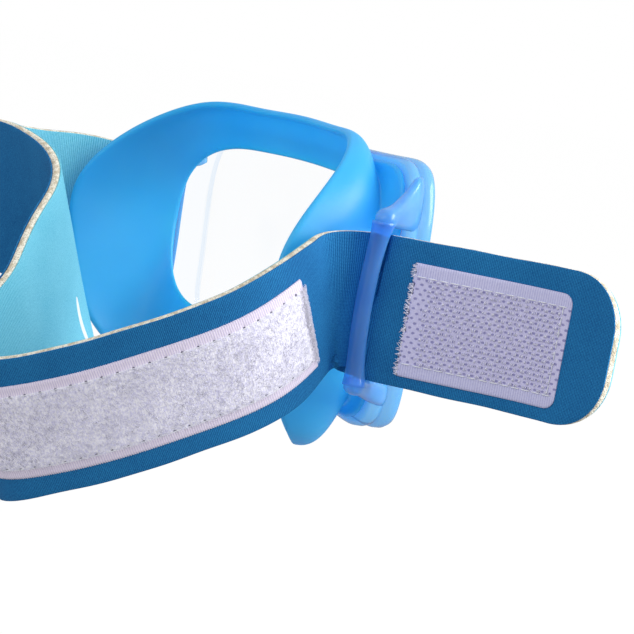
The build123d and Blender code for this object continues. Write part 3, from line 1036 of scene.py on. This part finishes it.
def outline(half_width, top, bottom, arch, upper=(0.90, 0.70), lower=(0.87, 0.82), dip=2.5 * MM):
    """Closed front view of the mask, in x and z: two eye fields with a notch for the nose.

    upper and lower place the rounded corners as shares of the half width and of the height; dip
    is how far the top edge has fallen on the way to its corners.
    """
    half = np.array([
        (0.0, top),
        (0.36 * half_width, top - 0.2 * dip),
        (0.68 * half_width, top - dip),
        (upper[0] * half_width, upper[1] * top),
        (half_width, 0.3 * top),
        (0.985 * half_width, 0.30 * bottom),
        (lower[0] * half_width, lower[1] * bottom),
        (0.62 * half_width, bottom),
        (0.34 * half_width, bottom + 4.0 * MM),
        (0.16 * half_width, 0.45 * (bottom + arch)),
        (0.0, arch),
    ])
    loop = np.concatenate([half, half[-2:0:-1] * [-1, 1]])
    wrapped = np.concatenate([loop[-4:], loop, loop[:5]])
    knots = lengths(wrapped)
    at = np.linspace(knots[4], knots[4 + len(loop)], AROUND, endpoint=False)
    return spline(knots, wrapped, at)


def frame_outline(inset):
    return outline(
        half_width=74.5 * MM - inset,
        top=38.6 * MM - inset,
        bottom=-36 * MM + inset,
        arch=-19 * MM + inset,
        upper=(0.925, 0.945),
        lower=(0.94, 0.88),
        dip=-0.6 * MM,
    )


def placed(flat, y):
    return np.stack([flat[:, 0], y, flat[:, 1]], axis=1)


def bowed(flat, depth):
    """Y of the curved surface at a depth behind the front, for places in x and z."""
    bow = BOW_RADIUS - np.sqrt(BOW_RADIUS**2 - flat[:, 0] ** 2)
    lean = TILT * flat[:, 1] * np.clip(1 - depth / FRAME_DEPTH, 0, 1)
    return FRONT_Y + bow + lean + depth


def frame_ring():
    """The frame round the lens, with a groove along its outer side and a soft rear edge."""
    rings = []
    for inset, depth in RING_SECTION:
        flat = frame_outline(inset * MM)
        rings.append(placed(flat, bowed(flat, depth * MM)))
    ring = skin("frame_ring", np.stack(rings, axis=1), FRAME_PLASTIC, closed=True)
    ring.data.materials.append(CLEAR_RIM)
    for number, face in enumerate(ring.data.polygons):
        face.material_index = int(number % len(RING_SECTION) in LENS_SEAT)
    return ring


def limb(name, rows, material):
    """A smooth moulded limb along rows like those of the arms, nearly oblong in section."""
    curve = even_curve(rows * MM, 0.6 * MM)
    centre = curve[:, :3]
    along = unit(np.gradient(centre, axis=0))
    broad = unit(UP - (along @ UP)[:, None] * along)
    thin = np.cross(along, broad)
    spin = np.linspace(0, 2 * pi, 28, endpoint=False)
    shape = np.stack([np.cos(spin), np.sin(spin)], axis=1)
    shape = np.sign(shape) * np.abs(shape) ** (2 / 2.6)
    rings = (
        centre[:, None]
        + curve[:, 3][:, None, None] * shape[:, 0][None, :, None] * broad[:, None]
        + curve[:, 4][:, None, None] * shape[:, 1][None, :, None] * thin[:, None]
    )
    return skin(name, rings, material)


def bar(side):
    """Strap bar, bowed a little to the rear, round in section."""
    half_length, bow, lift = 22.0, 1.6, 0.8  # millimetres
    x, y, _ = BAR[side] / MM
    share = np.linspace(-1, 1, 60)
    bowed_y = y + bow * (1 - share**2)
    centre = np.stack([np.full(60, x), bowed_y, half_length * share], axis=1) * MM
    centre[:, 2] += lift * MM
    spin = np.linspace(0, 2 * pi, 28, endpoint=False)
    flare = (BAR_RADIUS + 0.9 * MM * np.abs(share) ** 6)[:, None]
    rings = np.stack([
        centre[:, 0][:, None] + flare * np.cos(spin),
        centre[:, 1][:, None] + flare * np.sin(spin),
        np.broadcast_to(centre[:, 2][:, None], (60, 28)),
    ], axis=-1)
    return skin(f"{SIDE_NAME[side]}_strap_bar", rings, BAR_PLASTIC)


ring = frame_ring()
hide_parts("front_frame")
frame_pieces = [ring]
for side, name in SIDE_NAME.items():
    mirror = [side, 1, 1, 1, 1]
    frame_pieces.append(limb(f"{name}_upper_arm", np.array(UPPER_ARM) * mirror, FRAME_PLASTIC))
    frame_pieces.append(limb(f"{name}_lower_arm", np.array(LOWER_ARM) * mirror, FRAME_PLASTIC))
    frame_pieces.append(bar(side))
for piece in frame_pieces:
    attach(piece, "mask")

lens = frame["nodes"]["lens"]
lens.data.materials.clear()
lens.data.materials.append(LENS)


# ---------------- silicone skirt
WALL = 2.0 * MM
SEAT = FRAME_DEPTH + 0.05 * MM  # where the flange meets the back of the frame
# Section of the flange: inset from the frame's outline and depth behind the seat, millimetres.
FLANGE = ((3.6, 2.2), (2.4, 1.8), (2.0, 0.9), (2.1, 0.0))


def lip_depth(flat):
    """Y of the rear edge, which follows a face: shallow at the brow, deep at the temples."""
    temple, brow, cheek = 75 * MM, 44 * MM, 51 * MM
    side = np.abs(flat[:, 0]) / temple
    height = flat[:, 1] / np.where(flat[:, 1] > 0, brow, cheek)
    deepest = np.clip(1 - height**2, 0, 1)
    return (3.5 + 21.5 * side**2.2 + 16 * side**4 * deepest) * MM


def skirt():
    """One continuous wall from the flange behind the frame to a rounded lip on the face."""
    window = outline(half_width=70.5 * MM, top=30.4 * MM, bottom=-21 * MM, arch=-10.5 * MM)
    seal = outline(
        half_width=74 * MM, top=43.2 * MM, bottom=-43.8 * MM, arch=-13 * MM, lower=(0.90, 0.86)
    )
    edge = lip_depth(seal)
    shares = np.concatenate([np.linspace(0, 0.3, 9), np.linspace(0.36, 1.0, 15)])
    middle = []
    for share in shares:
        flat = window + (seal - window) * (1 - (1 - share) ** 3.0)
        seat = bowed(flat, SEAT) + WALL / 2
        y = seat + (edge - bowed(seal, SEAT) - WALL / 2) * share
        middle.append(placed(flat, y))
    middle = np.stack(middle, axis=1)
    rearward = unit(np.gradient(middle, axis=1))
    wrapped = np.concatenate([middle[-1:], middle, middle[:1]])
    around = unit((wrapped[2:] - wrapped[:-2]) / 2)
    inward = unit(np.cross(rearward, around))
    if (inward[0, -1] * middle[0, -1])[2] > 0:
        inward = -inward
    half = WALL / 2 * (1 + 0.25 * np.sin(pi * shares))[None, :, None]
    rows = [middle + inward * half]
    turns = [
        middle[:, -1] + WALL / 2 * (cos(turn) * inward[:, -1] + 1.1 * sin(turn) * rearward[:, -1])
        for turn in (pi / 4, pi / 2, 3 * pi / 4)
    ]
    rows.append(np.stack(turns, axis=1))
    rows.append((middle - inward * half)[:, :4:-1])
    flange = []
    for inset, depth in FLANGE:
        flat = frame_outline(inset * MM)
        flange.append(placed(flat, bowed(flat, SEAT + depth * MM)))
    rows.append(np.stack(flange, axis=1))
    rings = np.concatenate(rows, axis=1)
    piece = skin("skirt", rings, SILICONE, closed=True)
    smooth = piece.modifiers.new("smooth", "SUBSURF")
    smooth.levels = 1
    smooth.render_levels = 1
    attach(dress(piece, "skirt"), "mask")


skirt()


# ---------------- floor, light and camera
FLOOR_BOUNCE = 0.45  # what the floor gives back to the goggles
TILT_ROOM = 20 * MM  # keeps the floor clear of the strap when it tilts down
ROOM_LIGHT = 0.64  # what the white room gives to the goggles


def pale_floor():
    """Near white, brighter to the camera than to the goggles."""
    n = Nodes("pale_floor")
    tone = n.mix(n.noise(3.0, 2.0), (0.93, 0.93, 0.935), (0.95, 0.95, 0.95))
    diffuse = n.add("BsdfDiffuse", Color=tone)
    seen = n.add("LightPath").outputs["Is Camera Ray"]
    strength = n.scaled(seen, 1.01 - FLOOR_BOUNCE, FLOOR_BOUNCE)
    glow = n.add("Emission", Color=(1, 1, 1), Strength=strength)
    return n.finish(n.mix_shaders(0.97, diffuse, glow))


floor_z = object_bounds()[0].z - TILT_ROOM
bpy.ops.mesh.primitive_plane_add(size=30, location=(0, 0, floor_z))
floor = bpy.context.object
floor.name = "floor"
floor.data.materials.append(pale_floor())

world = bpy.data.worlds.new("studio")
bpy.context.scene.world = world
world.use_nodes = True
room = world.node_tree
backdrop = room.nodes["Background"]
backdrop.inputs["Color"].default_value = (1, 1, 1, 1)
rays = room.nodes.new("ShaderNodeLightPath")
seen_only = room.nodes.new("ShaderNodeMath")  # pure white to the camera only
seen_only.operation = "MAXIMUM"
room.links.new(rays.outputs["Is Camera Ray"], seen_only.inputs[0])
seen_only.inputs[1].default_value = ROOM_LIGHT
room.links.new(seen_only.outputs[0], backdrop.inputs["Strength"])

AZIMUTH = radians(241.45)
ELEVATION = radians(6.27)
ROLL = radians(10.45)
DISTANCE = 0.666
TARGET = Vector((-18.5, -4.0, -12.5)) * MM
FOCAL_LENGTH = 128.95
SENSOR_WIDTH = 36

back = Vector((sin(AZIMUTH) * cos(ELEVATION), -cos(AZIMUTH) * cos(ELEVATION), sin(ELEVATION)))
level = Vector((cos(AZIMUTH), sin(AZIMUTH), 0))
upright = back.cross(level)
right = level * cos(ROLL) + upright * sin(ROLL)
top = upright * cos(ROLL) - level * sin(ROLL)


def area_light(name, direction, distance, size, power):
    data = bpy.data.lights.new(name, "AREA")
    data.size = size
    data.energy = power
    lamp = bpy.data.objects.new(name, data)
    lamp.location = TARGET + direction.normalized() * distance
    lamp.rotation_euler = (-direction).to_track_quat("-Z", "Y").to_euler()
    bpy.context.scene.collection.objects.link(lamp)


area_light("key", Vector((-0.55, -0.75, 0.45)), 1.1, 0.8, 16.5)
area_light("fill", back * 0.9 - level * 0.6 + Vector((0, 0, 0.5)), 1.3, 1.2, 5.2)

camera_data = bpy.data.cameras.new("camera")
camera_data.sensor_width = SENSOR_WIDTH
camera_data.lens = FOCAL_LENGTH
camera = bpy.data.objects.new("camera", camera_data)
turned = Matrix((right, top, back)).transposed().to_4x4()
camera.matrix_world = Matrix.Translation(TARGET + back * DISTANCE) @ turned
bpy.context.scene.collection.objects.link(camera)
bpy.context.scene.camera = camera
bpy.context.scene.view_settings.view_transform = "Standard"
